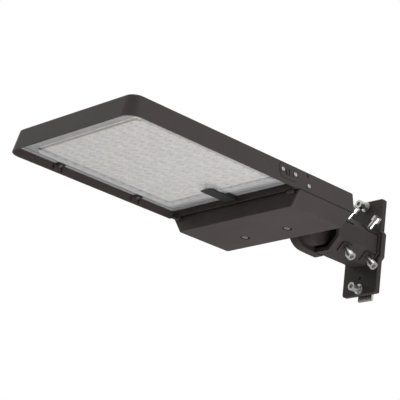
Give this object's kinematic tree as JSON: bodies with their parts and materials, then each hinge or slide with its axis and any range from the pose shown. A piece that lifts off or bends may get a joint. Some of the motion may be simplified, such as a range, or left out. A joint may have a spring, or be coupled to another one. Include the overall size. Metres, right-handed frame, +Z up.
{
  "type": "area light",
  "caption": "Shoebox area light with a finned housing, a domed lens panel, a hinged driver cover and a toothed tilting slipfitter on a bolted pole plate.",
  "frame": {"origin": "centre of the wire bore on the back face of the pole plate", "axes": "+X out from the pole towards the light's front lip, +Z up, +Y the side with the port cover and the set screws"},
  "size_m": [0.756, 0.3252, 0.2],
  "materials": {
    "bronze_coat": "matte dark bronze powder coat on die-cast aluminium",
    "cast_bronze_coat": "matte dark bronze powder coat on a coarser aluminium casting",
    "zinc_steel": "bright zinc plated",
    "lens_plastic": "clear to milky polycarbonate",
    "seal_rubber": "matt silicone",
    "board_metal": "white solder mask on an aluminium board",
    "led_plastic": "yellow phosphor",
    "dark_plastic": "matt black",
    "driver_metal": "plain drawn case",
    "pale_plastic": "matt off-white"
  },
  "bodies": {
    "pole_mount": {"pole_plate": "cast_bronze_coat", "pole_gasket": "seal_rubber", "pole_bolts": "zinc_steel", "pole_flat_washers": "zinc_steel", "pole_spring_washers": "zinc_steel", "pole_nut_plates": "zinc_steel", "pole_nuts": "zinc_steel"},
    "fitter": {"slipfitter": "cast_bronze_coat", "set_screws": "zinc_steel", "tilt_bolt": "zinc_steel", "tilt_washer": "zinc_steel", "tilt_nut": "zinc_steel"},
    "head": {"knuckle_arm": "cast_bronze_coat", "arm_gasket": "seal_rubber", "arm_bolts": "zinc_steel", "housing": "bronze_coat", "side_port_cover": "bronze_coat", "side_port_screws": "zinc_steel", "side_screws": "zinc_steel", "cover_hinge_pins": "zinc_steel", "lens_panel": "lens_plastic", "lens_gasket": "seal_rubber", "lens_clips": "dark_plastic", "lens_clip_screws": "zinc_steel", "led_board": "board_metal", "led_chips": "led_plastic", "lead_cover": "dark_plastic", "driver": "driver_metal", "driver_screws": "zinc_steel", "surge_protector": "pale_plastic", "terminal_block": "pale_plastic"},
    "cover": {"driver_cover": "bronze_coat", "cover_seal": "seal_rubber", "cover_screws": "zinc_steel"}
  },
  "joints": [
    {"name": "mount_swivel", "type": "hinge", "parent": "pole_mount", "child": "fitter", "pos_m": [0, 0, 0], "axis": [1, 0, 0], "range_deg": [-180, 180]},
    {"name": "tilt", "type": "hinge", "parent": "fitter", "child": "head", "pos_m": [0.135, 0, 0], "axis": [0, -1, 0], "range_deg": [-90, 90]},
    {"name": "driver_cover_hinge", "type": "hinge", "parent": "head", "child": "cover", "pos_m": [0.3515, 0, -0.0255], "axis": [0, -1, 0], "range_deg": [0, 85]}
  ]
}
